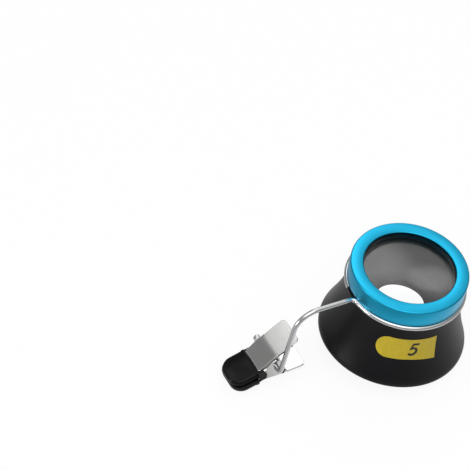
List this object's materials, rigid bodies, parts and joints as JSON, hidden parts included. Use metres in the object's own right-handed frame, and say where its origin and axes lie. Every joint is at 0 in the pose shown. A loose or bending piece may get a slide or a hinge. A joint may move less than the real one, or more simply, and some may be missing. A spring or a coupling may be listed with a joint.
{
  "type": "clip-on spectacle loupe",
  "caption": "Clip-on loupe for spectacles: black flared eye cup with a blue lens ring, on a bent steel wire arm with a sprung clip whose jaws have soft boots.",
  "frame": {"origin": "centre of the eye cup's rim, on the plane that the rim rests on", "axes": "+Z along the optical axis from the eye to the lens; -X from the cup to the arm and the clip; +Y along the clip's axle from the arm to the axle's free end"},
  "size_m": [0.0733, 0.044, 0.0388],
  "materials": {
    "eye_cup": "satin black moulded plastic",
    "lens_ring": "blue anodised",
    "lens": "polished",
    "lens_gasket": "matt",
    "wire_frame": "bright drawn steel",
    "axle_cap": "bright steel",
    "clip_upper_plate": "plated sheet",
    "clip_lower_plate": "plated sheet",
    "upper_jaw_boot": "soft glossy moulding",
    "lower_jaw_boot": "soft glossy moulding",
    "torsion_spring": "spring steel"
  },
  "bodies": {
    "loupe": {"eye_cup": "eye_cup", "lens_ring": "lens_ring", "lens": "lens", "lens_gasket": "lens_gasket"},
    "wire": {"wire_frame": "wire_frame", "axle_cap": "axle_cap"},
    "clip_lower": {"clip_lower_plate": "clip_lower_plate", "lower_jaw_boot": "lower_jaw_boot", "torsion_spring": "torsion_spring"},
    "clip_upper": {"clip_upper_plate": "clip_upper_plate", "upper_jaw_boot": "upper_jaw_boot"}
  },
  "joints": [
    {"name": "hoop_swivel", "type": "hinge", "parent": "loupe", "child": "wire", "pos_m": [0, 0, 0.0213], "axis": [0, 0, 1], "continuous": true},
    {"name": "clip_tilt", "type": "hinge", "parent": "wire", "child": "clip_lower", "pos_m": [-0.0376, 0.0072, -0.0032], "axis": [0, 1, 0], "continuous": true},
    {"name": "jaw_open", "type": "hinge", "parent": "clip_lower", "child": "clip_upper", "pos_m": [-0.0376, 0.0072, -0.0032], "axis": [0, 1, 0], "range_deg": [0, 60], "stiffness_Nm_per_rad": 0.05, "springref_deg": -28.65, "deforming": ["torsion_spring"]}
  ]
}
